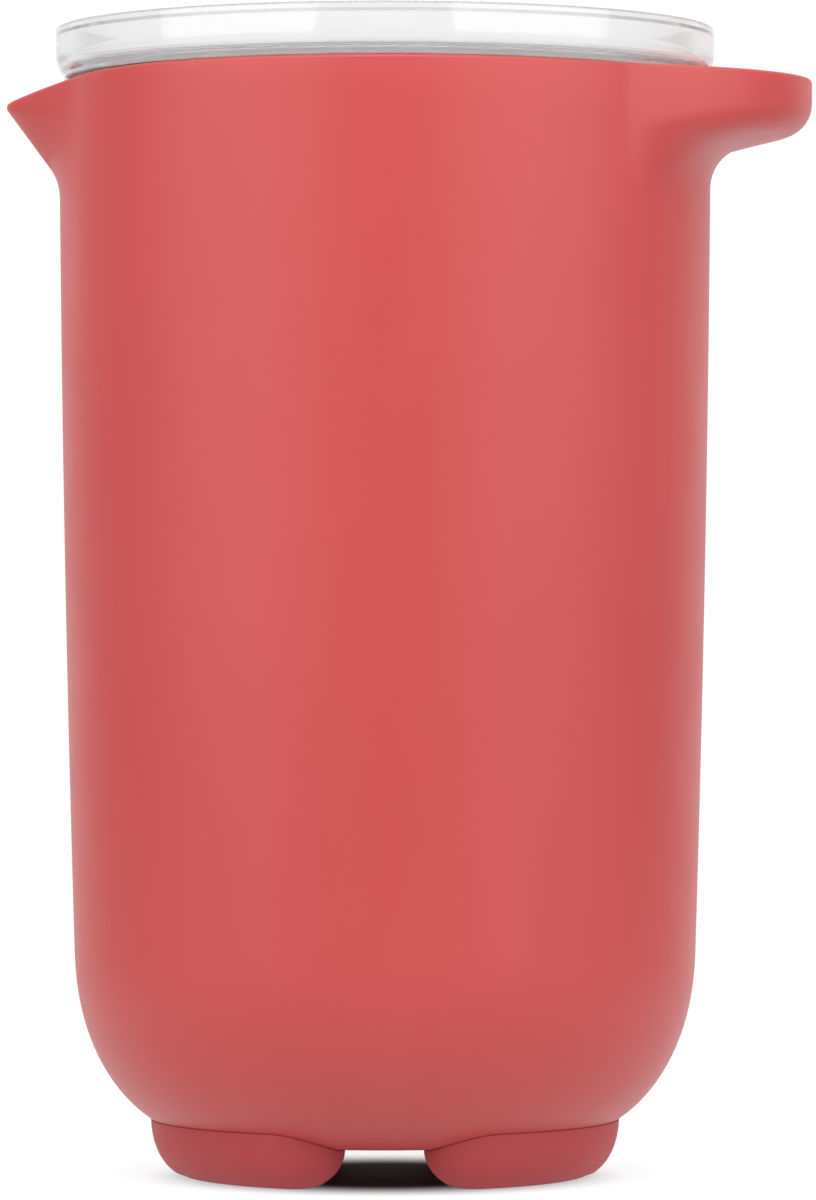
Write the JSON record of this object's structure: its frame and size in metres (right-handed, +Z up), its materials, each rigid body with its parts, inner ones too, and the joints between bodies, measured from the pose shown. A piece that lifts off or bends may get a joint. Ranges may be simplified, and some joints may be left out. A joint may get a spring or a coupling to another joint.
{
  "type": "mixing jug",
  "caption": "Tall mixing jug with a pouring spout, a broad grip lobe on the rim, a clear push-in lid shaped as a shallow dish, and half-ring non-slip feet.",
  "frame": {"origin": "middle of the whole object's footprint, on the surface it stands on; the jug's own axis is at x = -4.35 mm", "axes": "+Z up along the jug's axis, +X towards the grip, -X towards the spout, +Y to the back"},
  "size_m": [0.1448, 0.1184, 0.2055],
  "materials": {
    "jug_plastic": "satin",
    "foot_rubber": "matte",
    "clear_plastic": "clear gloss"
  },
  "bodies": {
    "jug": {"jug_body": "jug_plastic", "foot_left": "foot_rubber", "foot_right": "foot_rubber"},
    "lid": {"lid": "clear_plastic"}
  },
  "joints": [
    {"name": "lid_lift", "type": "slide", "parent": "jug", "child": "lid", "axis": [0, 0, 1], "range_m": [0, 0.1]}
  ]
}
